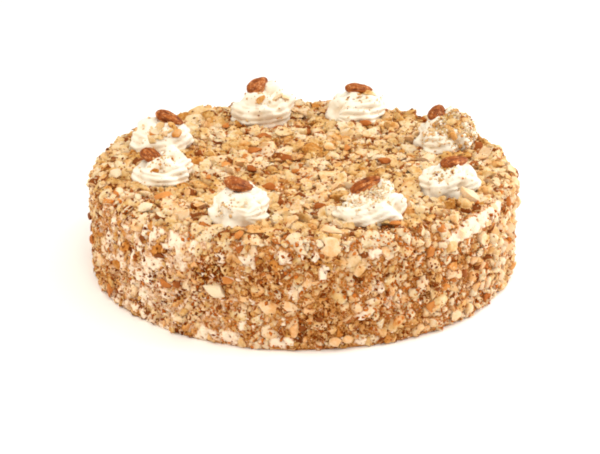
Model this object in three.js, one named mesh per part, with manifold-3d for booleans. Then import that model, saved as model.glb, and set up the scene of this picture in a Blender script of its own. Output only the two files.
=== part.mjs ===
// A round almond torte: a cake coated with cream and chopped almonds, with a ring of piped cream
// rosettes on top and a whole almond on each. Millimetres, +Z up, origin at the middle of the base.
// The photographed front faces -Y.

import * as THREE from "three";
import { mergeVertices } from "three/addons/utils/BufferGeometryUtils.js";
import Module from "manifold-3d";

const wasm = await Module();
wasm.setup();

const { degToRad, lerp } = THREE.MathUtils;
const UP = new THREE.Vector3(0, 0, 1);

// The coated cake
const CAKE_DIAMETER = 260; // across the chopped almonds on the side
const NUT_STAND = 3; // how far a chopped almond stands out of the cream
const CREAM_HEIGHT = 63; // base to the cream's top face, which the chopped almonds cover
const SHOULDER_RADIUS = 9; // rounding between the side and the top
const FOOT_BEVEL = 1.5; // small bevel where the side meets the base
const CREAM_RADIUS = CAKE_DIAMETER / 2 - NUT_STAND;

// Unevenness that the palette knife leaves in the side: waves of a depth, so many to a turn, that
// start at a phase and slant by so many radians for each millimetre of height
const SIDE_WAVES = [
  { depth: 0.45, perTurn: 3, phase: 0.6, slant: 0.025 },
  { depth: 0.27, perTurn: 7, phase: 2.1, slant: -0.055 },
  { depth: 0.18, perTurn: 13, phase: 4.4, slant: 0.11 },
];

// How finely the cream is divided
const CAKE_SEGMENTS = 64;
const SIDE_ROWS = 5;
const SHOULDER_STEPS = 3;
const TOP_RINGS = 4;

// Chopped almonds: blocks with uneven corners, the larger ones on top
const NUT_COUNT = 256;
const TOP_NUT_LENGTH = [8, 11];
const SIDE_NUT_LENGTH = [6.5, 9.5];
const NUT_WIDTH_SHARE = [0.6, 0.85]; // of the length
const NUT_THICKNESS_SHARE = [0.45, 0.6]; // of the length
const NUT_CORNER_SHIFT = 0.2; // of each side of the block
const NUT_TILT = 22; // degrees
const NUT_FOOT_CLEARANCE = 7; // no chopped almond's middle is lower than this
const NUT_ROSETTE_CLEARANCE = 8; // nor nearer to a rosette
const NUT_SEED = 20;
const GOLDEN_ANGLE = Math.PI * (3 - Math.sqrt(5));

// Rosettes: a tube of cream piped as a rising coil that closes at the tip
const COIL_TURNS = 1.95;
const COIL_CLOSING = 1.4; // how late the coil draws in towards its middle
const COIL_RISE = 1.3; // how late it rises
const COIL_BEADS = 72; // round beads that stand for the tube
const COIL_TILT = 0.17; // rise of the coil towards +X, the way the bag was pulled
const MOUND_SHARE = [0.75, 0.9]; // the cream inside the coil, of the rosette's radius and height
const TUBE_SHARE = 0.42; // tube radius, of the rosette's radius
const TIP_SHARE = 0.68; // tube radius at the tip, of the tube radius at the start
const SQUEEZE_SHARE = 0.06; // how much the tube swells and thins as the bag is pressed
const SQUEEZES_PER_TURN = 2.5;
const START_RISE = 0.55; // height of the tube's middle at the start, of its radius
const RIDGE_COUNT = 8; // grooves that the star nozzle leaves round the tube
const RIDGE_DEPTH = 0.6;
const ROSETTE_SEGMENTS = 20;
const ROSETTE_RINGS = 10;
const SEAT_GAP = 0.3; // between pieces that rest on each other

// Whole almonds
const ALMOND_LENGTH = 18.5;
const ALMOND_WIDTH = 10.8;
const ALMOND_THICKNESS = 6.6;
const ALMOND_TAPER = 0.26; // narrowing towards the pointed end
const ALMOND_SIDES = 10;
const ALMOND_RINGS = 8;

// Each rosette, clockwise from the back left: its heading and distance from the cake's axis, its
// radius and height, the heading where its coil starts and how far its tip leans to the side (x, y).
// Its almond: where its middle lies from the rosette's foot, the heading of its pointed end, how far
// that end is raised and how far the almond is rolled. Angles are in degrees.
const ROSETTES = [
  { angle: 106.7, distance: 88, radius: 21.5, height: 26, start: 95, lean: [6, 3],
    almond: { at: [-3.4, 2, 23], heading: 50, raised: 20, rolled: 38 } },
  { angle: 69.2, distance: 97.5, radius: 21, height: 19.5, start: -95, lean: [7, 4],
    almond: { at: [2.8, 1.5, 19], heading: 3, raised: -5, rolled: 0 } },
  { angle: 21, distance: 94.5, radius: 21, height: 23, start: -110, lean: [6, 3],
    almond: { at: [-3.6, 4, 20], heading: 72, raised: 14, rolled: 8 } },
  { angle: -30, distance: 96, radius: 19, height: 18, start: -20, lean: [7, 3],
    almond: { at: [4.4, 2, 17.3], heading: 32, raised: 2, rolled: 0 } },
  { angle: -66.8, distance: 94.5, radius: 19, height: 19, start: 205, lean: [7, 4],
    almond: { at: [-2.3, 1.5, 17.5], heading: 15, raised: 26, rolled: 12 } },
  { angle: -111.8, distance: 97.5, radius: 18.5, height: 19.5, start: -35, lean: [7, 4],
    almond: { at: [1.8, 2, 19.3], heading: 20, raised: -20, rolled: 10 } },
  { angle: -160, distance: 86.5, radius: 18, height: 17.5, start: 150, lean: [4, 4],
    almond: { at: [-6.5, 1.5, 14.3], heading: -50, raised: -10, rolled: 0 } },
  { angle: 161.7, distance: 92.5, radius: 20, height: 20, start: 215, lean: [3, 4],
    almond: { at: [5.7, 1, 19.2], heading: -8, raised: -20, rolled: 5 } },
];

const CREAM_LOOK = { color: 0xfbf3e0, roughness: 0.55, metalness: 0 };
const CHOPPED_NUT_LOOK = { color: 0xdcab72, roughness: 0.75, metalness: 0 };
const ALMOND_SKIN_LOOK = { color: 0xa4582b, roughness: 0.6, metalness: 0 };

// Random numbers from 0 to 1 that are the same on every run
function seededRandom(seed) {
  let state = seed;
  return () => {
    state = (state + 0x6d2b79f5) | 0;
    let mixed = Math.imul(state ^ (state >>> 15), state | 1);
    mixed ^= mixed + Math.imul(mixed ^ (mixed >>> 7), mixed | 61);
    return ((mixed ^ (mixed >>> 14)) >>> 0) / 4294967296;
  };
}

// Corners merged and collapsed triangles dropped, so that the surface is one closed skin
function closedSkin(geometry) {
  geometry.deleteAttribute("normal");
  geometry.deleteAttribute("uv");
  const merged = mergeVertices(geometry);
  const kept = [];
  const corners = merged.index.array;
  for (let i = 0; i < corners.length; i += 3) {
    const [a, b, c] = corners.slice(i, i + 3);
    if (a !== b && b !== c && c !== a) kept.push(a, b, c);
  }
  merged.setIndex(kept);
  return merged;
}

function toSolid(geometry) {
  return new wasm.Manifold(new wasm.Mesh({
    numProp: 3,
    vertProperties: new Float32Array(geometry.attributes.position.array),
    triVerts: new Uint32Array(geometry.index.array),
  }));
}

// The largest body of a solid, without loose scraps and sealed hollows
function toGeometry(solid) {
  const bodies = solid.decompose();
  const largest = bodies.reduce((best, body) => (body.volume() > best.volume() ? body : best));
  const { vertProperties, triVerts } = largest.getMesh();
  const geometry = new THREE.BufferGeometry();
  geometry.setAttribute("position", new THREE.BufferAttribute(vertProperties, 3));
  geometry.setIndex(new THREE.BufferAttribute(triVerts, 1));
  return geometry;
}

function eachVertex(geometry, move) {
  const position = geometry.attributes.position;
  const point = new THREE.Vector3();
  for (let i = 0; i < position.count; i += 1) {
    move(point.fromBufferAttribute(position, i));
    position.setXYZ(i, point.x, point.y, point.z);
  }
  return geometry;
}

function namedMesh(name, geometry, look) {
  const mesh = new THREE.Mesh(geometry, new THREE.MeshStandardMaterial(look));
  mesh.name = name;
  return mesh;
}

// How far the side stands in or out at an angle and a height
function sideWave(angle, z) {
  return SIDE_WAVES.reduce((sum, { depth, perTurn, phase, slant }) => (
    sum + depth * Math.sin(perTurn * angle + phase + slant * z)
  ), 0);
}

// The cream coat: a flat base, an upright side that waves a little, a round shoulder and a flat top
function creamSolid() {
  const profile = [
    new THREE.Vector2(0, 0),
    new THREE.Vector2(CREAM_RADIUS - FOOT_BEVEL, 0),
  ];
  const flatRadius = CREAM_RADIUS - SHOULDER_RADIUS;
  const shoulderFoot = CREAM_HEIGHT - SHOULDER_RADIUS;
  for (let row = 0; row <= SIDE_ROWS; row += 1) {
    profile.push(new THREE.Vector2(CREAM_RADIUS, lerp(FOOT_BEVEL, shoulderFoot, row / SIDE_ROWS)));
  }
  for (let step = 1; step <= SHOULDER_STEPS; step += 1) {
    const turn = (step / SHOULDER_STEPS) * (Math.PI / 2);
    profile.push(new THREE.Vector2(
      flatRadius + SHOULDER_RADIUS * Math.cos(turn),
      shoulderFoot + SHOULDER_RADIUS * Math.sin(turn),
    ));
  }
  for (let ring = 1; ring <= TOP_RINGS; ring += 1) {
    profile.push(new THREE.Vector2(flatRadius * (1 - ring / TOP_RINGS), CREAM_HEIGHT));
  }
  const coat = new THREE.LatheGeometry(profile, CAKE_SEGMENTS).rotateX(Math.PI / 2);
  eachVertex(coat, (point) => {
    const out = Math.hypot(point.x, point.y);
    if (out < flatRadius) return;
    const grown = 1 + sideWave(Math.atan2(point.y, point.x), point.z) / CREAM_RADIUS;
    point.x *= grown;
    point.y *= grown;
  });
  return toSolid(closedSkin(coat));
}

// A place on the coat, by equal areas from the middle of the top (0) to the foot of the side (1):
// its distance from the axis, its height and how far its normal leans outwards
function placeOnCoat(share) {
  const flatRadius = CREAM_RADIUS - SHOULDER_RADIUS;
  const shoulderFoot = CREAM_HEIGHT - SHOULDER_RADIUS;
  const topArea = flatRadius ** 2 / 2;
  const shoulderArea = SHOULDER_RADIUS * (flatRadius * (Math.PI / 2) + SHOULDER_RADIUS);
  const sideArea = CREAM_RADIUS * (shoulderFoot - NUT_FOOT_CLEARANCE);
  const area = share * (topArea + shoulderArea + sideArea);
  if (area < topArea) return { out: Math.sqrt(2 * area), z: CREAM_HEIGHT, lean: 0 };
  if (area < topArea + shoulderArea) {
    const lean = ((area - topArea) / shoulderArea) * (Math.PI / 2);
    return {
      out: flatRadius + SHOULDER_RADIUS * Math.sin(lean),
      z: shoulderFoot + SHOULDER_RADIUS * Math.cos(lean),
      lean,
    };
  }
  const down = (area - topArea - shoulderArea) / CREAM_RADIUS;
  return { out: CREAM_RADIUS, z: shoulderFoot - down, lean: Math.PI / 2 };
}

// One chopped almond at the origin, with its flat side across Z
function choppedNut(lengths, random) {
  const length = lerp(...lengths, random());
  const width = length * lerp(...NUT_WIDTH_SHARE, random());
  const thickness = length * lerp(...NUT_THICKNESS_SHARE, random());
  const block = closedSkin(new THREE.BoxGeometry(length, width, thickness));
  return eachVertex(block, (point) => {
    point.x += length * NUT_CORNER_SHIFT * (random() - 0.5) * 2;
    point.y += width * NUT_CORNER_SHIFT * (random() - 0.5) * 2;
    point.z += thickness * NUT_CORNER_SHIFT * (random() - 0.5) * 2;
  });
}

function rosetteFoot({ angle, distance }) {
  return new THREE.Vector3(distance, 0, CREAM_HEIGHT).applyAxisAngle(UP, degToRad(angle));
}

function clearOfRosettes(place) {
  return ROSETTES.every((rosette) => (
    rosetteFoot(rosette).distanceTo(place) > rosette.radius + NUT_ROSETTE_CLEARANCE
  ));
}

// Chopped almonds all over the coat, by the golden angle, clear of the rosettes
function choppedNuts() {
  const random = seededRandom(NUT_SEED);
  const nuts = [];
  for (let i = 0; i < NUT_COUNT; i += 1) {
    const { out, z, lean } = placeOnCoat((i + 0.5) / NUT_COUNT);
    const angle = i * GOLDEN_ANGLE;
    const place = new THREE.Vector3(out, 0, z).applyAxisAngle(UP, angle);
    const lengths = lean > Math.PI / 4 ? SIDE_NUT_LENGTH : TOP_NUT_LENGTH;
    const nut = choppedNut(lengths, random);
    const spin = random() * 2 * Math.PI;
    const tilt = degToRad(NUT_TILT) * (random() - 0.5) * 2;
    nut.rotateX(tilt).rotateZ(spin).rotateY(lean).rotateZ(angle).translate(...place);
    if (clearOfRosettes(place)) nuts.push(nut);
  }
  return nuts;
}

function cakeMesh() {
  const coated = choppedNuts().reduce((solid, nut) => solid.add(toSolid(nut)), creamSolid());
  return namedMesh("cake", toGeometry(coated), CHOPPED_NUT_LOOK);
}

// The beads of a rosette's coil, from its start on the outside to its tip
function coilBeads({ radius, height, start, lean }) {
  const tube = radius * TUBE_SHARE;
  const tip = tube * TIP_SHARE;
  const beads = [];
  for (let i = 0; i <= COIL_BEADS; i += 1) {
    const done = i / COIL_BEADS;
    const heading = degToRad(start) + done * COIL_TURNS * 2 * Math.PI;
    const sweep = (radius - tube) * (1 - done ** COIL_CLOSING);
    const rise = lerp(tube * START_RISE, height - tip, done ** COIL_RISE);
    const squeeze = 1 + SQUEEZE_SHARE * Math.sin(SQUEEZES_PER_TURN * heading);
    beads.push({
      heading,
      size: lerp(tube, tip, done) * squeeze,
      middle: new THREE.Vector3(
        sweep * Math.cos(heading) + lean[0] * done,
        sweep * Math.sin(heading) + lean[1] * done,
        rise + COIL_TILT * sweep * Math.cos(heading),
      ),
    });
  }
  return beads;
}

// How far the mound inside the coil reaches from the rosette's foot along a direction
function moundReach(direction, { radius, height }) {
  const level = Math.hypot(direction.x, direction.y) / (radius * MOUND_SHARE[0]);
  const upright = direction.z / (height * MOUND_SHARE[1]);
  return 1 / Math.hypot(level, upright);
}

// How far the coil reaches along a direction, with the nozzle's ridges
function coilReach(direction, beads) {
  let reach = 0;
  for (const { heading, size, middle } of beads) {
    const along = direction.dot(middle);
    const room = size ** 2 - middle.lengthSq() + along ** 2;
    if (room <= 0) continue;
    const hit = direction.clone().multiplyScalar(along + Math.sqrt(room));
    const offset = hit.clone().sub(middle);
    const outward = offset.x * Math.cos(heading) + offset.y * Math.sin(heading);
    const round = Math.atan2(offset.z, outward);
    reach = Math.max(reach, hit.length() + RIDGE_DEPTH * Math.cos(RIDGE_COUNT * round));
  }
  return reach;
}

// A rosette on its foot at the origin: a half ball whose every point is pushed out to the coil
function rosetteGeometry(rosette) {
  const profile = [new THREE.Vector2(0, 0)];
  for (let ring = 0; ring <= ROSETTE_RINGS; ring += 1) {
    const up = (ring / ROSETTE_RINGS) * (Math.PI / 2);
    profile.push(new THREE.Vector2(ring < ROSETTE_RINGS ? Math.cos(up) : 0, Math.sin(up)));
  }
  const ball = closedSkin(new THREE.LatheGeometry(profile, ROSETTE_SEGMENTS).rotateX(Math.PI / 2));
  const beads = coilBeads(rosette);
  return eachVertex(ball, (point) => {
    if (point.lengthSq() === 0) return;
    point.multiplyScalar(Math.max(moundReach(point, rosette), coilReach(point, beads)));
  });
}

// An almond along X with its pointed end at +X and its flat sides across Z, with room round it
function almondGeometry(room) {
  const kernel = new THREE.SphereGeometry(1, ALMOND_SIDES, ALMOND_RINGS).rotateZ(-Math.PI / 2);
  return eachVertex(closedSkin(kernel), (point) => {
    const narrowing = 1 - ALMOND_TAPER * point.x;
    point.set(
      point.x * (ALMOND_LENGTH / 2 + room),
      point.y * (ALMOND_WIDTH / 2 + room) * narrowing,
      point.z * (ALMOND_THICKNESS / 2 + room) * narrowing,
    );
  });
}

function placeAlmond(object, { at, heading, raised, rolled }) {
  object.position.set(...at);
  object.rotation.set(degToRad(rolled), degToRad(-raised), degToRad(heading), "ZYX");
  object.updateMatrix();
}

// A rosette and the almond that is pressed into it
function rosetteGroup(rosette, number) {
  const almond = namedMesh(`almond_${number}`, almondGeometry(0), ALMOND_SKIN_LOOK);
  placeAlmond(almond, rosette.almond);
  const socket = almondGeometry(SEAT_GAP).applyMatrix4(almond.matrix);
  const piped = toSolid(rosetteGeometry(rosette)).subtract(toSolid(socket));
  const group = new THREE.Group();
  group.add(namedMesh(`rosette_${number}`, toGeometry(piped), CREAM_LOOK), almond);
  return group;
}

const torte = new THREE.Group();
torte.add(cakeMesh());
ROSETTES.forEach((rosette, i) => {
  const group = rosetteGroup(rosette, i + 1);
  group.position.copy(rosetteFoot(rosette)).addScaledVector(UP, SEAT_GAP);
  torte.add(group);
});

export default torte;
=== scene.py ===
"""Looks of the almond torte: spread cream, chopped almonds, piped rosettes and whole almonds."""

import math
from collections import namedtuple

import bmesh
import bpy
import numpy as np
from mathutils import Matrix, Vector


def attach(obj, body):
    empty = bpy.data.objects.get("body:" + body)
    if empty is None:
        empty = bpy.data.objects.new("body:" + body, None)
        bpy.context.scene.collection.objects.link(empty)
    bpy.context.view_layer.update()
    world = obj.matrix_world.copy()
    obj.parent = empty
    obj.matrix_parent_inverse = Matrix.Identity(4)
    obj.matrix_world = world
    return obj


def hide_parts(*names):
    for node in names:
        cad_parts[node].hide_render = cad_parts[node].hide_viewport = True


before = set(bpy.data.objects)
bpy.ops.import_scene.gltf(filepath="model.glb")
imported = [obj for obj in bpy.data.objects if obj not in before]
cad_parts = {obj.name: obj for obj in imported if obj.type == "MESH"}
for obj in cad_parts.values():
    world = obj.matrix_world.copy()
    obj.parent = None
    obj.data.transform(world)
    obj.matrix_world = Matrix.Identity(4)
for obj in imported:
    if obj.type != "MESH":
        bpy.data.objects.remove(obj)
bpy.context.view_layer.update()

# Lengths are in millimetres until a mesh is made

MM = 0.001
GOLDEN_ANGLE = math.pi * (3 - math.sqrt(5))

# The cream coat

CREAM_RADIUS = 127.0
CREAM_HEIGHT = 63.0
SHOULDER_RADIUS = 9.0
FOOT_BEVEL = 1.5
FLAT_RADIUS = CREAM_RADIUS - SHOULDER_RADIUS
SHOULDER_RUN = SHOULDER_RADIUS * math.pi / 2
SIDE_RUN = CREAM_HEIGHT - SHOULDER_RADIUS
COAT_RUN = FLAT_RADIUS + SHOULDER_RUN + SIDE_RUN  # from the middle of the top to the foot
SIDE_WAVES = (  # depth, waves to a turn, phase, slant with height
    (0.45, 3, 0.6, 0.025),
    (0.27, 7, 2.1, -0.055),
    (0.18, 13, 4.4, 0.11),
)
COAT_LUMPS = ((0.5, 26.0, 1), (0.3, 7.0, 2))  # depth, wavelength, seed
FOOT_FADE = (0.0, 6.0)  # heights over which lumps and swelling set in
CREAM_SWELL = 2.2  # how far cream wells up between the almonds where it shows
CREAM_TOP = (61.0, 62.8)  # heights over which the bare cream of the side ends
CREAMY_SIDE = (-132.0, 32.0, 0.71)  # heading in degrees, half width of the side where it shows, how much
MARBLING = ((0.8, 6.5, 5, 0.45), (0.5, 3.2, 6, 1.0))  # how much, size, seed, below 1 draws it out upright
BARE_FROM = (1.4, 2.2)  # marbling that begins to show cream, and that shows only cream
CREAM_PULL = 2.0  # how much a creamy place adds to the marbling
TOP_CREAM = 0.35  # how free of almond dust the cream of the top is
SIDE_CREAM = 0.7  # the same for creamy places on the side
PATCH_CREAM = 1.0  # how much cream shows in the patches below
BAND_CREAM = 1.35
PATCH_FADE = (0.6, 1.5)  # a patch ends over these shares of its half width and half height
COAT_COLUMNS = 480
TOP_RINGS = 8
SHOULDER_RINGS = 12
SIDE_RINGS = 50

# Places where the cream shows through: heading in degrees, height, half width, half height
CREAM_PATCHES = (
    (-132, 58, 9, 5), (-122, 57, 6, 4), (-149, 42, 4, 8), (-144, 32, 4, 8), (-138, 21, 5, 7),
    (-130, 39, 9, 6), (-134, 18, 7, 5), (-121, 47, 4, 6), (-103, 52, 4, 5), (-95, 55, 5, 4),
    (-114, 7, 6, 4), (-108, 6, 7, 4), (-95, 6, 8, 3), (-92, 35, 4, 4), (-87, 56, 3, 3), (-72, 55, 5, 3),
    (-84, 48, 5, 4), (-71, 35, 5, 4), (-68, 25, 3, 4), (-75, 20, 5, 3), (-74, 4, 7, 2.5),
    (12, 30, 6, 7), (34, 48, 8, 5), (41, 18, 7, 5), (58, 33, 5, 8), (76, 56, 7, 4), (88, 22, 6, 6),
    (104, 42, 8, 5), (121, 12, 8, 4), (132, 50, 6, 6), (149, 28, 7, 7), (168, 45, 6, 6),
)
# A smooth band of cream on the rim, in the same way
CREAM_BAND = (
    (-50, 53.5, 6, 3.5), (-45, 55.5, 9, 4.5), (-40, 57.5, 9, 5), (-35, 59, 9, 5), (-29.5, 60, 8, 5),
)

# The rosettes and their almonds, as in the solids

COIL_TURNS = 1.95
COIL_CLOSING = 1.4
COIL_RISE = 1.3
COIL_BEADS = 72
COIL_TILT = 0.17
MOUND_SHARE = (0.75, 0.9)
TUBE_SHARE = 0.42
TIP_SHARE = 0.68
SQUEEZE_SHARE = 0.06
SQUEEZES_PER_TURN = 2.5
START_RISE = 0.55
RIDGE_COUNT = 12
RIDGE_RANGE = (-1.3, 0.7)  # groove and crest, as shares of the depth
RIDGE_DEPTHS = (0.5, 0.8, 0.9, 1.0, 1.4, 0.8, 0.5, 0.5)  # of each rosette
RIDGE_TWISTS = (0.1, 0.4, -0.4, -0.3, -0.6, 0.6, 0.3, -0.2)  # of each rosette's ridges along its coil
ROSETTE_LUMPS = ((0.9, 12.0, 31), (0.12, 4.0, 32))  # depth, wavelength, seed
SEAT_GAP = 0.3
ROSETTE_COLUMNS = 120
ROSETTE_RINGS = 52
ROSETTE_SMOOTHING = 0.3
GROOVE_AROUND = (5, 3)  # columns and rings to each side that a groove is measured against

ALMOND_LENGTH = 18.5
ALMOND_WIDTH = 10.8
ALMOND_THICKNESS = 6.6
ALMOND_TAPER = 0.26
ALMOND_COLUMNS = 48
ALMOND_RINGS = 36
WRINKLE_DEPTH = 0.16
WRINKLE_WIDTH = 1.5
WRINKLE_STRETCH = (0.12, 1, 1)  # below 1 draws the wrinkles out along the almond
WRINKLE_SEED = 40

Almond = namedtuple("Almond", "at heading raised rolled")
Rosette = namedtuple("Rosette", "angle distance radius height start lean almond")
ROSETTES = (
    Rosette(106.7, 88, 21.5, 26, 95, (6, 3), Almond((-3.4, 2, 23), 50, 20, 38)),
    Rosette(69.2, 97.5, 21, 19.5, -95, (7, 4), Almond((2.8, 1.5, 19), 3, -5, 0)),
    Rosette(21, 94.5, 21, 23, -110, (6, 3), Almond((-3.6, 4, 20), 72, 14, 8)),
    Rosette(-30, 96, 19, 18, -20, (7, 3), Almond((4.4, 2, 17.3), 32, 2, 0)),
    Rosette(-66.8, 94.5, 19, 19, 205, (7, 4), Almond((-2.3, 1.5, 17.5), 15, 26, 12)),
    Rosette(-111.8, 97.5, 18.5, 19.5, -35, (7, 4), Almond((1.8, 2, 19.3), 20, -20, 10)),
    Rosette(-160, 86.5, 18, 17.5, 150, (4, 4), Almond((-6.5, 1.5, 14.3), -50, -10, 0)),
    Rosette(161.7, 92.5, 20, 20, 215, (3, 4), Almond((5.7, 1, 19.2), -8, -20, 5)),
)

# Folds and dents of each rosette: heading and height above its foot, spread, all in degrees, how far out
FOLDS = (
    ((-165, 35, 24, 1.5), (-45, 80, 15, -3.5)),
    ((-100, 25, 12, -2.0), (-160, 30, 22, 1.5), (-170, 12, 20, 3.5)),
    (),
    ((-55, 30, 12, -4.0), (0, 52, 18, -4.0), (-120, 42, 5, -1.5), (-95, 45, 5, -1.5), (-25, 45, 6, -1.5),
     (-40, 68, 12, 2.0)),
    ((-28, 8, 16, 3.0), (8, 30, 15, -4.0)),
    ((-45, 35, 20, 2.0), (0, 52, 20, -3.5), (-165, 22, 12, 2.5), (-150, 34, 8, -2.4), (-128, 34, 8, -2.4),
     (-106, 34, 8, -2.4), (-25, 26, 9, -3.2), (-42, 14, 9, -3.2)),
    ((-20, 74, 16, 4.0), (-85, 45, 12, -2.0)),
    ((178, 46, 20, 4.5),),
)

# The largest chopped almonds, which the solids hold as well

LARGE_NUT_COUNT = 256
LARGE_NUT_SEED = 20
LARGE_TOP_LENGTH = (8.0, 11.0)
LARGE_SIDE_LENGTH = (6.5, 9.5)
LARGE_WIDTH_SHARE = (0.6, 0.85)
LARGE_THICKNESS_SHARE = (0.45, 0.6)
LARGE_CORNER_SHIFT = 0.2
LARGE_TILT = 22
LARGE_FOOT_CLEARANCE = 7
LARGE_ROSETTE_CLEARANCE = 8
LARGE_SQUARENESS = 4  # 2 would round the blocks to balls
LARGE_WEAR = (0.25, 4.0, 8)  # depth, wavelength, seed
LARGE_SKINNED = 0.35
LARGE_SKIN_FROM = 0.8  # of the way out to a side, where skin begins
BLOCK_CORNERS = np.array([[x, y, z * x] for x in (1, -1) for y in (1, -1) for z in (1, -1)])
TONE_SPREAD = (1.5, 2.4)  # of a beta distribution
ROSE_SPREAD = (-0.5, 0.6)
TOP_TOAST = 0.3
SIDE_TOAST = 0.33
SIDE_ROSE = 0.36  # how much rosier almonds are on the side
PALE_SIDE = (-25.0, 35.0, 0.5)  # heading in degrees, half width, how much less toasted
PAINTED_LIGHT_RIM = (-80.0, 24.0, 1.1)  # the same for the rim: painted light, paler almonds on the front of the shoulder where the light falls
TOAST_PATCHES = ((0.2, 34.0, 51), (0.15, 14.0, 52))  # how much, size, seed

# Smaller kinds: seed, detail of the balls they are cut from, flat cuts, lengths, width and thickness as
# shares of the length, share sunk, tilt, share that has skin, pieces, stretch of the coat, how strongly
# bare patches thin them
Kind = namedtuple(
    "Kind", "name seed detail cuts lengths width thickness sunk tilt skinned pieces zone thinned",
    defaults=[0, None, 0])
TOP_ZONE = (0.0, FLAT_RADIUS + 0.5 * SHOULDER_RUN)
SIDE_ZONE = (FLAT_RADIUS + 0.25 * SHOULDER_RUN, COAT_RUN - 1.0)
NUT_KINDS = (
    Kind("top_nuts", 11, 2, 7, (5.5, 14.0), (0.6, 0.9), (0.4, 0.65), 0.25, 0.3, 0.28, 1050, TOP_ZONE, 0.9),
    Kind("top_chips", 12, 1, 4, (2.8, 6.0), (0.6, 0.95), (0.5, 0.8), 0.25, 0.5, 0.6, 2500, TOP_ZONE, 0.95),
    Kind("side_nuts", 13, 2, 7, (3.6, 8.6), (0.65, 0.95), (0.6, 0.85), 0.3, 0.3, 0.3, 1850, SIDE_ZONE, 0.8),
    Kind("side_chips", 17, 1, 4, (2.6, 5.0), (0.6, 0.9), (0.5, 0.8), 0.35, 0.5, 0.35, 2600, SIDE_ZONE, 0.9),
)
DUST_KINDS = (
    Kind("top_bits", 14, 0, 2, (0.9, 2.6), (0.6, 0.95), (0.45, 0.75), 0.3, 0.5, 0.3, 5000, TOP_ZONE, 0.7),
    Kind("side_bits", 16, 0, 2, (0.8, 2.6), (0.6, 0.95), (0.45, 0.75), 0.4, 0.5, 0.4, 12900, SIDE_ZONE,
         0.6),
)
FLAKE_KINDS = (
    Kind("top_flakes", 15, 0, 2, (1.0, 3.0), (0.5, 0.9), (0.15, 0.3), 0.2, 0.3, 0, 1700, TOP_ZONE, 0),
    Kind("side_flakes", 18, 0, 2, (1.3, 4.0), (0.5, 0.9), (0.15, 0.3), 0.2, 0.3, 0, 9500, SIDE_ZONE, 0.7),
)
CLUSTER_FLAKES = Kind("cluster_flakes", 19, 0, 3, (1.2, 3.6), (0.5, 0.9), (0.2, 0.4), 0.2, 0.4, 0)
PRESSED = (-120.0, -0.05, 0.3)  # heading in degrees where almonds are pressed in most, least and most
PRESSED_FROM = (0.0, 0.8)  # cosines of the least and the most
FINE_SIDE = (-105.0, 0.1, 0.75)  # heading in degrees with most fine bits, cosines of fewest and most
FINE_KINDS = ("side_bits", "side_flakes")
FINE_LEAST = 0.5
FLAKE_CLUMPS = 16.0
CLUMP_EDGE = (-0.6, 0.6)  # mean and spread of where clumps end
SETTLED = (0.8, 4.5)  # fine pieces on the side stay lower than this above the coat, at random
ROSETTE_OVERLAP = 3.0  # into a rosette's rim, less a quarter of a kind's greatest length
AREA_STEPS = 400
FORMS_PER_KIND = 40
UNEVEN_CORNERS = (0.88, 1.06)  # as shares of a ball's radius
CUT_DEPTHS = (0.3, 0.75)  # in the same way, from its middle
SHORTEST_EDGE = 0.06
CRISP_ANGLE = 55.0  # degrees
LENGTH_SPREAD = (1.2, 2.0)  # of a beta distribution
BAKE_FILL = 0.8  # share of its square in the bake map that a piece may take
CAST_HEIGHT = 15.0  # above the coat, from where pieces are dropped onto others
FLOOR_GAP = 0.1

# Clusters of brown flakes: heading in degrees, run from the top's middle, spread, flakes
FLAKE_CLUSTERS = (
    (-112, 142, 4.5, 80), (-114, 146, 3, 30), (-65, 118, 3, 60), (-141, 105, 5, 30),
    (-90, 171, 3.5, 30), (-73, 154, 6, 60), (-60, 158, 6, 60), (-85, 168, 5, 40), (-131, 158, 5, 30),
    (-91, 63, 5, 30), (-146, 36, 4, 25),
)

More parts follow.
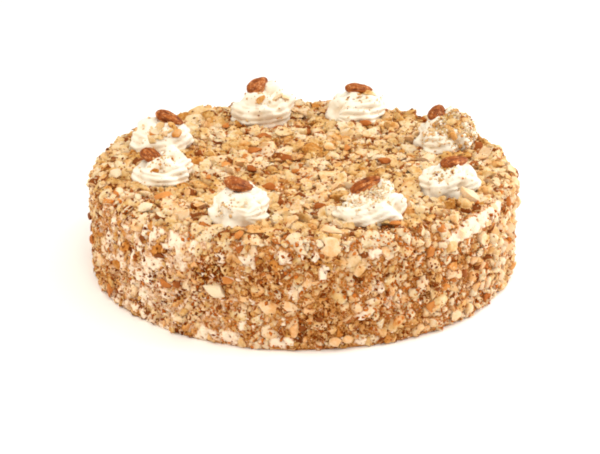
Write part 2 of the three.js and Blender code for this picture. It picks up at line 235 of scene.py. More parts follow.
# Single pieces that stand out: heading in degrees, run from the top's middle, length, width as a share
# of it, how toasted, whether it is all skin, turn of its length from level in degrees, how proud it is,
# degrees that it is tipped outward
Marked = namedtuple("Marked", "heading run length width tone skinned turn proud tipped", defaults=[0, 0, 0])
MARKED_SEED = 26
MARKED_DETAIL = 2
MARKED_CUTS = 5
MARKED_THICKNESS = 0.5
MARKED_RISE = (3.4, 5.6)  # above the coat, on the side and on top
MARKED_NUTS = [Marked(*row) for row in (
    (-141, 101, 11.5, 0.75, -0.1, True, 70), (-128, 140, 8, 0.6, 1.3, True),
    (-133, 133, 4, 0.8, 1.2, True), (-130, 122, 3.5, 0.8, 1.2, True),
    (-112, 154, 14, 0.6, -0.4, False, 5), (-108, 146, 6.5, 0.7, 0.1, True),
    (-126, 156, 10, 0.5, 0.3, True), (-122, 154, 5, 0.8, 0.7, True),
    (-106, 122, 6.5, 0.7, 0.1, True, 80), (-98, 161, 13, 0.85, 0.5, False),
    (-92, 173, 9, 0.65, 0.6, False, 90), (-122, 175, 7, 0.6, 0.4, False),
    (-150, 178, 8, 0.8, 0.2, True, 60), (-90, 171, 4, 0.8, 1.2, True), (-86, 166, 4, 0.7, 1.2, True),
    (-146, 66, 5.5, 0.8, 0, True), (-166, 47, 7, 0.8, -0.3, True), (-147, 36, 8, 0.6, 0.6, True),
    (-99, 25, 5, 0.9, 0.2, True), (118, 51, 10, 0.6, 0.4, True), (154, 32, 11, 0.7, 0.2, True),
    (-112, 52, 9, 0.6, 0.3, True), (-91, 63, 6.5, 0.9, 1, True), (-83, 81, 6.5, 0.6, 0.5, True),
    (-58, 29, 14, 0.7, 0.4, False), (-5, 50, 8, 0.7, 0.4, True, 90), (33, 33, 8, 0.8, 0, True),
    (59, 80, 8.5, 0.7, 0.3, True), (-65, 119, 7, 0.7, 0.1, True), (-82, 114, 14, 0.6, 0.2, False),
    (-83, 126, 11, 0.9, 0.4, False, 90), (-78, 134, 11, 0.7, 0.3, False),
    (-57, 136, 7, 0.6, 0.1, True, 75), (-53, 126, 6, 0.8, 0.2, True),
    (-39, 117, 12, 0.6, 0.9, False, 80, 1), (-34, 108, 16, 0.55, -0.1, False, 105, 7.5, 60),
    (-8, 141, 9, 0.8, 0.2, False, 30, 2.5), (-22, 130, 6, 0.8, 0.3, True, 30),
    (-10, 128, 9, 0.75, 0.4, False, 60), (-36, 148, 8, 0.7, -0.2, True, 80),
    (-50, 136, 9.5, 0.9, 0.7, False), (-56, 169, 7.5, 0.9, 0.1, True), (-48, 179, 8, 0.7, 0.2, False),
    (-82, 180, 7, 0.8, 0.2, False), (-79, 179, 6, 0.8, 0.5, False), (-35, 179, 6, 0.7, 0.3, True, 90),
    (-137, 119, 9, 0.8, -0.3, False, 60), (118, 22, 13, 0.8, 0, False),
    (128, 80, 6, 0.8, 0.2, True, 60), (54, 29, 9, 0.9, 0.5, False), (-35, 76, 10, 0.8, 0.8, False),
    (-171, 59, 9, 0.8, 0.1, False), (-167, 113, 13, 0.5, -0.2, False),
    (-105, 128, 5, 0.8, 0.5, True, 45), (-172, 129, 8, 0.8, 0.4, False, 40, 1),
    (-172, 150, 6, 0.8, 1, True, 20, 0.5), (-173, 128, 8, 0.7, 0.3, False, 70),
    (-166, 160, 7, 0.8, 0.3, True, 60), (131, 108, 14, 0.6, 0.5, False),
    (124, 113, 12, 0.6, 0.7, False, 10), (-5, 124, 8, 0.8, 0.3, False, 30),
    (-8, 140, 7, 0.8, 0.4, False, 60),
)]


# Numbers and forms

def unit(vectors):
    return vectors / np.linalg.norm(vectors, axis=-1, keepdims=True)


def between(limits, share):
    return limits[0] + (limits[1] - limits[0]) * share


def direction(heading, lean):
    """The way of a heading that leans out from straight up, both in radians."""
    heading, lean = np.broadcast_arrays(heading, lean)
    return np.stack([np.cos(heading) * np.sin(lean), np.sin(heading) * np.sin(lean), np.cos(lean)], axis=-1)


def headings(points):
    return np.degrees(np.arctan2(points[..., 1], points[..., 0]))


def near_heading(points, at, half_width, most):
    """Values that are the most at a heading in degrees and fade to both sides of it."""
    return most * np.exp(-((headings(points) - at) / half_width) ** 2)


def soft_noise(points, wavelength, seed, waves=16):
    """Smooth random values with a spread of 1 that change over about a wavelength."""
    rng = np.random.default_rng(seed)
    pulls = unit(rng.normal(size=(waves, 3))) * rng.uniform(0.7, 1.4, (waves, 1))
    phases = rng.uniform(0, 2 * math.pi, waves)
    angles = points @ pulls.T * (2 * math.pi / wavelength) + phases
    return np.sin(angles).sum(axis=-1) / math.sqrt(waves / 2)


def smooth_step(values, low, high):
    share = np.clip((values - low) / (high - low), 0, 1)
    return share * share * (3 - 2 * share)


def closed_skin(rings):
    """Points and triangles of a closed form, given as rings from its top point to its bottom point.

    Values that come after a point's three coordinates stay with it.
    """
    rows, columns = rings.shape[:2]
    number = np.arange(rows * columns).reshape(rows, columns)
    number[0] = number[0, 0]
    number[-1] = number[-1, 0]
    after = np.roll(number, -1, axis=1)
    upper = np.stack([number[:-1], number[1:], after[1:]], axis=-1).reshape(-1, 3)
    lower = np.stack([number[:-1], after[1:], after[:-1]], axis=-1).reshape(-1, 3)
    faces = np.concatenate([upper, lower])
    apart = (faces != np.roll(faces, 1, axis=1)).all(axis=1)
    used, faces = np.unique(faces[apart], return_inverse=True)
    return rings.reshape(rows * columns, -1)[used], faces.reshape(-1, 3)


Form = namedtuple("Form", "points faces skin")


def ball(detail):
    """A mesh of a ball: detail 0 is an octahedron, then ever finer balls."""
    mesh = bmesh.new()
    if detail == 0:
        bmesh.ops.create_uvsphere(mesh, u_segments=4, v_segments=2, radius=1)
    else:
        bmesh.ops.create_icosphere(mesh, subdivisions=detail, radius=1)
    return mesh


def as_form(mesh):
    """Points in a box of side 1, triangles, and which of these still have the ball's skin."""
    bmesh.ops.triangulate(mesh, faces=mesh.faces[:])
    mesh.verts.index_update()
    points = np.array([vert.co for vert in mesh.verts])
    faces = np.array([[vert.index for vert in face.verts] for face in mesh.faces])
    skin = np.array([face.material_index == 0 for face in mesh.faces])
    mesh.free()
    low, high = points.min(axis=0), points.max(axis=0)
    return Form((points - (low + high) / 2) / (high - low), faces, skin)


def chopped_form(detail, cuts, rng):
    """A ball with uneven corners and flat cuts, as a knife leaves a piece of almond."""
    mesh = ball(detail)
    for vert in mesh.verts:
        vert.co *= rng.uniform(*UNEVEN_CORNERS)
    for _ in range(cuts):
        side = Vector(rng.normal(size=3)).normalized()
        everything = mesh.verts[:] + mesh.edges[:] + mesh.faces[:]
        depth = rng.uniform(*CUT_DEPTHS)
        cut = bmesh.ops.bisect_plane(
            mesh, geom=everything, plane_co=side * depth, plane_no=side, clear_outer=True)
        rim = [item for item in cut["geom_cut"] if isinstance(item, bmesh.types.BMEdge)]
        bmesh.ops.edgeloop_fill(mesh, edges=rim, mat_nr=1)
    bmesh.ops.remove_doubles(mesh, verts=mesh.verts[:], dist=SHORTEST_EDGE)
    return as_form(mesh)


# Pieces of the object

def add_object(name, data):
    made = bpy.data.objects.new(name, data)
    bpy.context.scene.collection.objects.link(made)
    return made


def mesh_object(name, points, faces, finish):
    mesh = bpy.data.meshes.new(name)
    mesh.vertices.add(len(points))
    mesh.loops.add(faces.size)
    mesh.polygons.add(len(faces))
    mesh.vertices.foreach_set("co", (points * MM).astype(np.float32).ravel())
    mesh.loops.foreach_set("vertex_index", faces.astype(np.int32).ravel())
    mesh.polygons.foreach_set("loop_start", np.arange(0, faces.size, 3, dtype=np.int32))
    mesh.update(calc_edges=True)
    mesh.materials.append(finish)
    return add_object(name, mesh)


def add_piece(name, points, faces, finish, replaced=()):
    piece = mesh_object(name, points, faces, finish)
    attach(piece, "root")
    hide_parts(*replaced)
    return piece


def set_values(piece, name, values, domain="POINT"):
    attribute = piece.data.attributes.new(name, "FLOAT", domain)
    attribute.data.foreach_set("value", values.astype(np.float32).ravel())


def set_each(piece, owners, **values):
    """Sets values that each almond of a heap has all over."""
    for name, each in values.items():
        set_values(piece, name, each[owners], "FACE")


def crisp(piece):
    """Smooth, apart from the edges of cuts."""
    piece.data.shade_smooth()
    piece.data.set_sharp_from_angle(angle=math.radians(CRISP_ANGLE))


def add_heap(name, forms, picks, laid, finish):
    """One piece of many, where laid[n] are the points of all that have form n.

    Whose each face is, and whether it has the form's skin, come with it.
    """
    points, faces, owners, skins, maps = [], [], [], [], []
    columns = math.ceil(math.sqrt(2 * len(picks)))
    start = 0
    for number, form in enumerate(forms):
        mine = np.flatnonzero(picks == number)
        steps = start + len(form.points) * np.arange(len(mine))
        start += laid[number].size // 3
        points.append(laid[number].reshape(-1, 3))
        faces.append((form.faces + steps[:, None, None]).reshape(-1, 3))
        owners.append(np.repeat(mine, len(form.faces)))
        skins.append(np.tile(form.skin, len(mine)))
        maps.append(bake_places(form, mine, columns).reshape(-1, 2))
    piece = add_piece(name, np.concatenate(points), np.concatenate(faces), finish)
    bake = piece.data.uv_layers.new(name="OFBake")
    bake.data.foreach_set("uv", np.concatenate(maps).astype(np.float32).ravel())
    return piece, np.concatenate(owners), np.concatenate(skins)


def bake_places(form, mine, columns):
    """Two squares of the bake map for each piece: its upper and its lower faces, seen from above."""
    corners = form.points[form.faces]
    turned = np.cross(corners[:, 1] - corners[:, 0], corners[:, 2] - corners[:, 0])
    square = 2 * mine[:, None] + (turned[:, 2] < 0)
    places = np.stack([square % columns, square // columns], axis=-1)
    return (places[:, :, None, :] + 0.5 + BAKE_FILL * corners[None, :, :, :2]) / columns


# Finishes

class Shade:
    """A socket of a finish, with arithmetic that adds the nodes it needs."""

    def __init__(self, finish, socket):
        self.finish = finish
        self.socket = socket

    def maths(self, operation, first, second):
        return self.finish.node("ShaderNodeMath", {"operation": operation}, {0: first, 1: second})

    def __add__(self, other):
        return self.maths("ADD", self, other)

    __radd__ = __add__

    def __sub__(self, other):
        return self.maths("SUBTRACT", self, other)

    def __rsub__(self, other):
        return self.maths("SUBTRACT", other, self)

    def __mul__(self, other):
        return self.maths("MULTIPLY", self, other)

    __rmul__ = __mul__

    def step(self, low, high):
        """0 below low, 1 above high and smooth between them."""
        settings = {"interpolation_type": "SMOOTHSTEP"}
        return self.finish.node("ShaderNodeMapRange", settings, {0: self, 1: low, 2: high})


class Finish:
    """A new material: values that are the same all over, and nodes for what changes."""

    def __init__(self, name, constants):
        self.material = bpy.data.materials.new(name)
        self.material.use_nodes = True
        self.tree = self.material.node_tree
        self.shader = self.tree.nodes["Principled BSDF"]
        for socket, value in constants.items():
            self.shader.inputs[socket].default_value = value

    def node(self, kind, settings, sockets, output=0):
        made = self.tree.nodes.new(kind)
        for name, value in settings.items():
            if name == "stops":
                set_stops(made.color_ramp, value)
            else:
                setattr(made, name, value)
        for name, value in sockets.items():
            self.feed(made.inputs[name], value)
        return Shade(self, made.outputs[output])

    def feed(self, socket, value):
        if isinstance(value, Shade):
            self.tree.links.new(value.socket, socket)
        else:
            socket.default_value = value

    def noise(self, size, detail=3.0, roughness=0.55):
        """Noise with patches of about a size in millimetres."""
        place = self.node("ShaderNodeTexCoord", {}, {}, "Object")
        sockets = {"Vector": place, "Scale": 1 / (size * MM), "Detail": detail, "Roughness": roughness}
        return self.node("ShaderNodeTexNoise", {"noise_dimensions": "3D"}, sockets, "Fac")

    def value(self, name):
        return self.node("ShaderNodeAttribute", {"attribute_name": name}, {}, "Fac")

    def ramp(self, share, *stops):
        return self.node("ShaderNodeValToRGB", {"stops": stops}, {"Fac": share}, "Color")

    def mix(self, share, first, second):
        return self.node("ShaderNodeMix", {"data_type": "RGBA"}, {0: share, 6: first, 7: second}, 2)

    def bump(self, height, depth, strength):
        sockets = {"Height": height, "Distance": depth * MM, "Strength": strength}
        return self.node("ShaderNodeBump", {}, sockets)

    def wear(self, **maps):
        """Feeds the shader's sockets that change over the surface."""
        for name, value in maps.items():
            self.feed(self.shader.inputs[name.replace("_", " ").title()], value)
        return self.material


def set_stops(ramp, stops):
    for _ in stops[2:]:
        ramp.elements.new(0.5)
    for element, (position, *levels) in zip(ramp.elements, stops):
        element.position = position
        element.color = colour(*levels)


def colour(red, green, blue):
    """A colour as screens give it, from 0 to 255, as the linear values that shaders use."""
    def linear(level):
        share = level / 255
        return share / 12.92 if share <= 0.04045 else ((share + 0.055) / 1.055) ** 2.4
    return (linear(red), linear(green), linear(blue), 1.0)


def piped_cream():
    finish = Finish("piped_cream", {
        "Roughness": 0.5, "Subsurface Weight": 0.14, "Subsurface Radius": (1.0, 0.9, 0.75),
        "Subsurface Scale": 0.0015, "Specular IOR Level": 0.35,
    })
    butter = finish.noise(9, 4).step(0.4, 0.75)
    cream = finish.mix(butter, colour(237, 233, 220), colour(236, 223, 202))
    # Painted shade: the cream is darkened in the rosette's grooves and folds
    tint = finish.mix(finish.value("groove").step(0, 1), cream, colour(222, 206, 182))
    grain = finish.noise(0.9, 4, 0.6) + 2 * finish.noise(4)
    return finish.wear(base_color=tint, normal=finish.bump(grain, 0.15, 0.7))


def spread_cream():
    """Cream that almond dust tints, all over the top and in patches on the side."""
    finish = Finish("spread_cream", {
        "Roughness": 0.7, "Subsurface Weight": 0.15, "Subsurface Radius": (1.0, 0.9, 0.75),
        "Subsurface Scale": 0.002, "Specular IOR Level": 0.15,
    })
    bare = finish.value("bare")
    dust = (finish.noise(3, 5, 0.7) + 0.6 * (1 - bare)).step(0.62, 0.95)
    meal = finish.ramp(
        finish.noise(1, 5, 0.75), (0.38, 114, 56, 4), (0.5, 184, 118, 48), (0.68, 226, 178, 122))
    tint = finish.mix(dust, colour(241, 220, 196), meal)
    grain = finish.noise(1.4, 5, 0.7) + finish.noise(5)
    return finish.wear(base_color=tint, normal=finish.bump(grain, 0.5, 0.8))


def chopped_almond():
    """Pale to toasted flesh, brown skin where a piece kept its own, brown crumbs and painted shade low down
    and smeared cream.
    """
    finish = Finish("chopped_almond", {
        "Roughness": 0.7, "Specular IOR Level": 0.1, "Subsurface Weight": 0.3,
        "Subsurface Radius": (1.0, 0.7, 0.4), "Subsurface Scale": 0.0015,
    })
    tone = finish.value("tone")
    mottle = finish.noise(2, 5, 0.7)
    broad = finish.noise(7, 3)
    toast = 0.45 * tone + 1.1 * (broad - 0.5) + 0.7 * (mottle - 0.5)
    yellow = finish.ramp(
        toast,
        (0.0, 225, 207, 177), (0.2, 220, 194, 151), (0.4, 209, 172, 115), (0.6, 186, 136, 68),
        (0.8, 154, 93, 30),
    )
    pink = finish.ramp(
        toast,
        (0.0, 228, 199, 164), (0.2, 226, 182, 135), (0.4, 216, 158, 97), (0.6, 194, 124, 52),
        (0.8, 158, 87, 20),
    )
    flesh = finish.mix(finish.value("rosy"), yellow, pink)
    creamy = finish.value("creamy")
    # Low on each piece, near the coat and in the gaps between pieces where shade falls, the flesh is
    # painted brown: partly crumbs, partly painted shade.
    low = 1 - (finish.value("rise") + 2 * (mottle - 0.5)).step(-1.0, 1.8)
    crumbs_and_painted_shade = finish.mix(0.55 * low * (1 - creamy), flesh, colour(168, 100, 24))
    freckles = finish.noise(1.3, 6, 0.8).step(0.53, 0.72)
    freckled = finish.mix(0.3 * freckles, crumbs_and_painted_shade, colour(150, 84, 24))
    skin = finish.ramp(
        tone + 0.5 * mottle + 0.9 * (broad - 0.5),
        (0.1, 206, 140, 76), (0.4, 186, 116, 56), (0.7, 160, 89, 37), (1.0, 124, 65, 23),
    )
    peel = (finish.value("skin") + 1.4 * (finish.noise(1.8, 4, 0.6) - 0.5)).step(0.45, 0.7)
    bare = finish.mix(peel, freckled, skin)
    smear = (creamy + 2 * (finish.noise(4, 4, 0.6) - 0.5) + 0.4 * (0.5 - tone)).step(0.75, 1.7)
    tint = finish.mix(0.7 * smear, bare, colour(240, 212, 178))
    return finish.wear(base_color=tint, normal=finish.bump(finish.noise(1.1, 4, 0.6), 0.4, 0.6))


def almond_skin_flake():
    finish = Finish("almond_skin_flake", {"Roughness": 0.8, "Specular IOR Level": 0.05})
    tint = finish.ramp(
        finish.value("tone") + 0.3 * (finish.noise(0.8) - 0.5),
        (0.1, 196, 114, 48), (0.42, 162, 83, 22), (0.7, 132, 60, 10), (1.0, 104, 46, 4),
    )
    return finish.wear(base_color=tint)


def almond_skin():
    """Brown skin with wrinkles along the almond and pale dust."""
    finish = Finish("almond_skin", {"Roughness": 0.55, "Specular IOR Level": 0.2})
    wrinkle = finish.value("wrinkle")
    patch = finish.noise(3, 4)
    skin = finish.ramp(
        0.3 * wrinkle + 0.6 * patch,
        (0.25, 88, 36, 6), (0.45, 142, 70, 18), (0.6, 176, 98, 34), (0.8, 214, 146, 78),
    )
    dust = (finish.noise(0.8, 4, 0.75) + 0.6 * (patch - 0.5)).step(0.56, 0.68)
    tint = finish.mix(0.65 * dust, skin, colour(232, 184, 130))
    grain = finish.noise(0.4, 4) + wrinkle
    return finish.wear(base_color=tint, normal=finish.bump(grain, 0.1, 0.7))


def pale_floor():
    finish = Finish("pale_floor", {"Roughness": 0.9})
    tint = finish.mix(finish.noise(400, 2), colour(254, 254, 255), colour(251, 251, 252))
    return finish.wear(base_color=tint)


# The cream coat and the places on it

def coat_profile(run):
    """Distance from the axis, height and outward lean of the coat, at a run from the top's middle."""
    lean = np.clip((run - FLAT_RADIUS) / SHOULDER_RADIUS, 0, math.pi / 2)
    out = np.minimum(run, FLAT_RADIUS) + SHOULDER_RADIUS * np.sin(lean)
    down = np.maximum(run - FLAT_RADIUS - SHOULDER_RUN, 0)
    height = CREAM_HEIGHT - SHOULDER_RADIUS * (1 - np.cos(lean)) - down
    return out, height, lean


def coat_surface(run, angle):
    """Points of the lumpy coat, and the way it faces there."""
    out, height, lean = coat_profile(run)
    wave = sum(depth * np.sin(turns * angle + phase + slant * height)
               for depth, turns, phase, slant in SIDE_WAVES)
    out = out + wave * np.sin(lean) - np.maximum(FOOT_BEVEL - height, 0)
    facing = direction(angle, lean)
    points = np.stack([out * np.cos(angle), out * np.sin(angle), height], axis=-1)
    lumps = sum(depth * soft_noise(points, size, seed) for depth, size, seed in COAT_LUMPS)
    lumps = lumps * smooth_step(height, *FOOT_FADE)
    return points + facing * lumps[..., None], facing


def creaminess(points):
    """How much cream shows in a part of the side: 0 hardly any, 1 as much as almonds."""
    heading, height = headings(points), points[..., 2]
    creamy = near_heading(points, *CREAMY_SIDE)
    for most, patches in ((PATCH_CREAM, CREAM_PATCHES), (BAND_CREAM, CREAM_BAND)):
        for at, rise, half_width, half_height in patches:
            apart = np.radians((heading - at + 180) % 360 - 180) * CREAM_RADIUS
            reach = np.hypot(apart / half_width, (height - rise) / half_height)
            creamy = np.maximum(creamy, most * (1 - smooth_step(reach, *PATCH_FADE)))
    return creamy * (1 - smooth_step(height, *CREAM_TOP))


def bareness(points):
    """How bare of almonds the side is, from 0 to 1: finely marbled, and more so in creamy places."""
    marbling = sum(much * soft_noise(points * [1, 1, upright], size, seed)
                   for much, size, seed, upright in MARBLING)
    bare = smooth_step(marbling + CREAM_PULL * creaminess(points), *BARE_FROM)
    return bare * (1 - smooth_step(points[..., 2], *CREAM_TOP))


def add_coat():
    runs = np.concatenate([
        np.linspace(0, FLAT_RADIUS, TOP_RINGS, endpoint=False),
        FLAT_RADIUS + np.linspace(0, SHOULDER_RUN, SHOULDER_RINGS, endpoint=False),
        FLAT_RADIUS + SHOULDER_RUN + np.linspace(0, SIDE_RUN, SIDE_RINGS),
    ])
    angles = np.linspace(0, 2 * math.pi, COAT_COLUMNS, endpoint=False)
    rings, facing = coat_surface(*np.meshgrid(runs, angles, indexing="ij"))
    swell = CREAM_SWELL * bareness(rings) * smooth_step(rings[..., 2], *FOOT_FADE)
    rings = rings + facing * swell[..., None]
    rings[0] = rings[0].mean(axis=0)
    underside = np.zeros((1, COAT_COLUMNS, 3))
    points, faces = closed_skin(np.concatenate([rings, underside]))
    coat = add_piece("cream_coat", points, faces, spread_cream(), ["cake"])
    coat.data.shade_smooth()
    top = TOP_CREAM * smooth_step(points[:, 2], CREAM_HEIGHT - SHOULDER_RADIUS, CREAM_HEIGHT)
    side = np.maximum(bareness(points), SIDE_CREAM * creaminess(points))
    set_values(coat, "bare", np.maximum(top, side))
    return coat


def even_spread(kind, rng):
    """Runs and headings spread evenly over a stretch of the coat, a little out of step."""
    runs = np.linspace(*kind.zone, AREA_STEPS)
    area = np.cumsum(coat_profile(runs)[0] * np.gradient(runs))
    share = (np.arange(kind.pieces) + rng.uniform(0, 1, kind.pieces)) / kind.pieces
    run = np.interp(share * area[-1], area, runs)
    spacing = math.sqrt(2 * math.pi * area[-1] / kind.pieces)
    drift = rng.uniform(-0.5, 0.5, kind.pieces) * spacing / np.maximum(coat_profile(run)[0], spacing)
    return run, np.arange(kind.pieces) * GOLDEN_ANGLE + drift


def rosette_foot(rosette):
    """The middle of a rosette's underside."""
    outward = direction(math.radians(rosette.angle), math.pi / 2)
    return rosette.distance * outward + [0, 0, CREAM_HEIGHT + SEAT_GAP]


def clear_of_rosettes(points, margin):
    clear = np.full(len(points), True)
    for rosette in ROSETTES:
        apart = np.linalg.norm(points - rosette_foot(rosette), axis=1)
        clear &= apart > rosette.radius + margin
    return clear


# Chopped almonds

def loose_axes(facing, tilt, rng):
    """Directions of length, width and thickness for pieces that lie with a random turn and tilt."""
    up = unit(facing + tilt * rng.normal(size=facing.shape))
    along = unit(np.cross(up, rng.normal(size=up.shape)))
    return np.stack([along, np.cross(up, along), up], axis=1)


def lay(forms, picks, sizes, points, axes, sunk):
    """Forms at true size, laid on points, in one array for each form."""
    places = points + axes[:, 2] * (sizes[:, 2] * (0.5 - sunk))[:, None]
    laid = []
    for number, form in enumerate(forms):
        mine = picks == number
        turned = np.einsum("vk,nk,nkc->nvc", form.points, sizes[mine], axes[mine]) + places[mine, None]
        turned[..., 2] += np.maximum(FLOOR_GAP - turned[..., 2].min(axis=1, keepdims=True), 0)
        laid.append(turned)
    return laid


def towards(points, heading):
    """Cosine of the angle, seen from above, between points and a heading in degrees."""
    return np.cos(np.radians(headings(points) - heading))


def pressed(points, facing):
    """How much further almonds are pressed into the cream of the side."""
    share = smooth_step(towards(points, PRESSED[0]), *PRESSED_FROM)
    return between(PRESSED[1:], share) * (1 - facing[:, 2])


def piece_sizes(kind, count, rng):
    length = between(kind.lengths, rng.beta(*LENGTH_SPREAD, count))
    width = length * rng.uniform(*kind.width, count)
    thickness = length * rng.uniform(*kind.thickness, count)
    return np.stack([length, width, thickness], axis=1)


def cast_onto(pieces, points, facing):
    """Where places on the coat come to lie on the pieces that cover it."""
    bpy.context.view_layer.update()
    points, facing = points.copy(), facing.copy()
    for number, (point, way) in enumerate(zip(points, facing)):
        origin = Vector(point + way * CAST_HEIGHT) * MM
        hits = [piece.ray_cast(origin, Vector(-way), distance=CAST_HEIGHT * MM) for piece in pieces]
        hits = [(place - origin, normal) for hit, place, normal, _ in hits if hit]
        if hits:
            drop, normal = min(hits, key=lambda found: found[0].length)
            points[number] = np.array(origin + drop) / MM
            facing[number] = unit(facing[number] + np.array(normal))
    return points, facing


def scatter(kind, finish, over=(), clumps=None):
    """Adds the pieces of a kind, spread on the coat or over what covers it, evenly or in clumps."""
    rng = np.random.default_rng(kind.seed)
    points, facing = coat_surface(*even_spread(kind, rng))
    kept = rng.uniform(0, 1, kind.pieces) > kind.thinned * bareness(points)
    kept &= clear_of_rosettes(points, kind.lengths[1] / 4 - ROSETTE_OVERLAP)
    if kind.name in FINE_KINDS:
        share = smooth_step(towards(points, FINE_SIDE[0]), *FINE_SIDE[1:])
        kept &= rng.uniform(0, 1, kind.pieces) < between((FINE_LEAST, 1), share)
    if clumps:
        kept &= soft_noise(points, clumps, kind.seed) > rng.normal(*CLUMP_EDGE, kind.pieces)
    ground, outward = points[kept], facing[kept]
    points, facing = cast_onto(over, ground, outward)
    rise = ((points - ground) * outward).sum(axis=1) * (1 - outward[:, 2])
    low = rise < rng.uniform(*SETTLED, len(rise))
    return strew(kind, points[low], facing[low], ground[low], finish, rng)


def strew(kind, points, facing, ground, finish, rng):
    """Adds pieces of a kind at points, over their ground on the coat, with a tone each and skin on some."""
    count = len(points)
    forms = [chopped_form(kind.detail, kind.cuts, rng) for _ in range(FORMS_PER_KIND)]
    picks = rng.integers(0, FORMS_PER_KIND, count)
    axes = loose_axes(facing, kind.tilt, rng)
    sizes = piece_sizes(kind, count, rng)
    laid = lay(forms, picks, sizes, points, axes, kind.sunk + pressed(ground, facing))
    piece, owners, skin = add_heap(kind.name, forms, picks, laid, finish)
    skinned = rng.uniform(0, 1, count) < kind.skinned
    set_values(piece, "skin", skin & skinned[owners], "FACE")
    set_tones(piece, ground, facing, owners, rng)
    set_rise(piece, picks, laid, ground, facing)
    if kind.detail > 1:
        crisp(piece)
    return piece


def add_clusters(finish, cover):
    """Flakes gathered in clusters."""
    rng = np.random.default_rng(CLUSTER_FLAKES.seed)
    runs, angles = [], []
    for heading, run, spread, count in FLAKE_CLUSTERS:
        runs.append(rng.normal(run, spread, count))
        angles.append(math.radians(heading) + rng.normal(0, spread / run, count))
    runs = np.minimum(np.concatenate(runs), SIDE_ZONE[1])
    ground, facing = coat_surface(runs, np.concatenate(angles))
    points, facing = cast_onto(cover, ground, facing)
    strew(CLUSTER_FLAKES, points, facing, ground, finish, rng)


def add_marked_nuts(finish):
    """The pieces that stand out, each in its own place."""
    rng = np.random.default_rng(MARKED_SEED)
    count = len(MARKED_NUTS)
    columns = Marked(*(np.array(column) for column in zip(*MARKED_NUTS)))
    heading, turn = np.radians(columns.heading), np.radians(columns.turn)[:, None]
    ground, facing = coat_surface(columns.run, heading)
    tipped = np.radians(columns.tipped)[:, None]
    facing = unit(np.cos(tipped) * facing + np.sin(tipped) * direction(heading, math.pi / 2))
    level = direction(heading + math.pi / 2, math.pi / 2)
    along = np.cos(turn) * level + np.sin(turn) * np.cross(facing, level)
    axes = np.stack([along, np.cross(facing, along), facing], axis=1)
    shares = np.stack([np.ones(count), columns.width, np.full(count, MARKED_THICKNESS)], axis=1)
    sizes = columns.length[:, None] * shares
    forms = [chopped_form(MARKED_DETAIL, MARKED_CUTS, rng) for _ in MARKED_NUTS]
    picks = np.arange(count)
    rise = between(MARKED_RISE, facing[:, 2]) + columns.proud
    laid = lay(forms, picks, sizes, ground, axes, 1 - rise / sizes[:, 2])
    piece, owners, _ = add_heap("marked_nuts", forms, picks, laid, finish)
    rosy = rng.uniform(0, 1, count)
    set_each(piece, owners, skin=columns.skinned, tone=columns.tone, rosy=rosy, creamy=np.zeros(count))
    set_rise(piece, picks, laid, ground, facing)
    crisp(piece)


def set_tones(piece, ground, facing, owners, rng):
    """How toasted and rosy each almond is, with painted light making those on the front of the rim paler,
    and how creamy the place is where it lies.
    """
    upward = facing[:, 2]
    toast = between((SIDE_TOAST - near_heading(ground, *PALE_SIDE), TOP_TOAST), upward)
    # Painted light: almonds on the front of the rim's shoulder are made paler, where the light falls on it
    rim = 4 * upward ** 2 * (1 - upward ** 2)
    toast -= near_heading(ground, *PAINTED_LIGHT_RIM) * rim
    toast += sum(much * soft_noise(ground, size, seed) for much, size, seed in TOAST_PATCHES)
    tones = rng.beta(*TONE_SPREAD, len(ground)) + toast
    rosy = rng.uniform(*ROSE_SPREAD, len(ground)) + SIDE_ROSE * (1 - upward)
    set_each(piece, owners, tone=tones, rosy=rosy, creamy=creaminess(ground))


def set_rise(piece, picks, laid, ground, facing):
    """How far each point stands above the coat, in millimetres."""
    rises = []
    for number, points in enumerate(laid):
        mine = picks == number
        rises.append(np.einsum("nvc,nc->nv", points - ground[mine, None], facing[mine]).ravel())
    set_values(piece, "rise", np.concatenate(rises))


def seeded_random(seed):
    """Numbers from 0 to 1, the same that place the solids' chopped almonds."""
    whole = 0xFFFFFFFF
    state = seed
    while True:
        state = (state + 0x6D2B79F5) & whole
        mixed = (state ^ (state >> 15)) * (state | 1) & whole
        mixed ^= mixed + ((mixed ^ (mixed >> 7)) * (mixed | 61) & whole) & whole
        yield (mixed ^ (mixed >> 14)) / (whole + 1)


def turn_about(axis, angle):
    """A turn about x (0), y (1) or z (2), for points in rows."""
    first, second = (axis + 1) % 3, (axis + 2) % 3
    turn = np.eye(3)
    turn[first, first] = turn[second, second] = math.cos(angle)
    turn[first, second] = math.sin(angle)
    turn[second, first] = -math.sin(angle)
    return turn


def large_nut_run(share):
    """A run from the top's middle that has a share of the coat's area within it, as in the solids."""
    top_area = FLAT_RADIUS ** 2 / 2
    shoulder_area = SHOULDER_RADIUS * (FLAT_RADIUS * math.pi / 2 + SHOULDER_RADIUS)
    side_area = CREAM_RADIUS * (SIDE_RUN - LARGE_FOOT_CLEARANCE)
    area = share * (top_area + shoulder_area + side_area)
    if area < top_area:
        return math.sqrt(2 * area)
    if area < top_area + shoulder_area:
        return FLAT_RADIUS + (area - top_area) / shoulder_area * SHOULDER_RUN
    return FLAT_RADIUS + SHOULDER_RUN + (area - top_area - shoulder_area) / CREAM_RADIUS


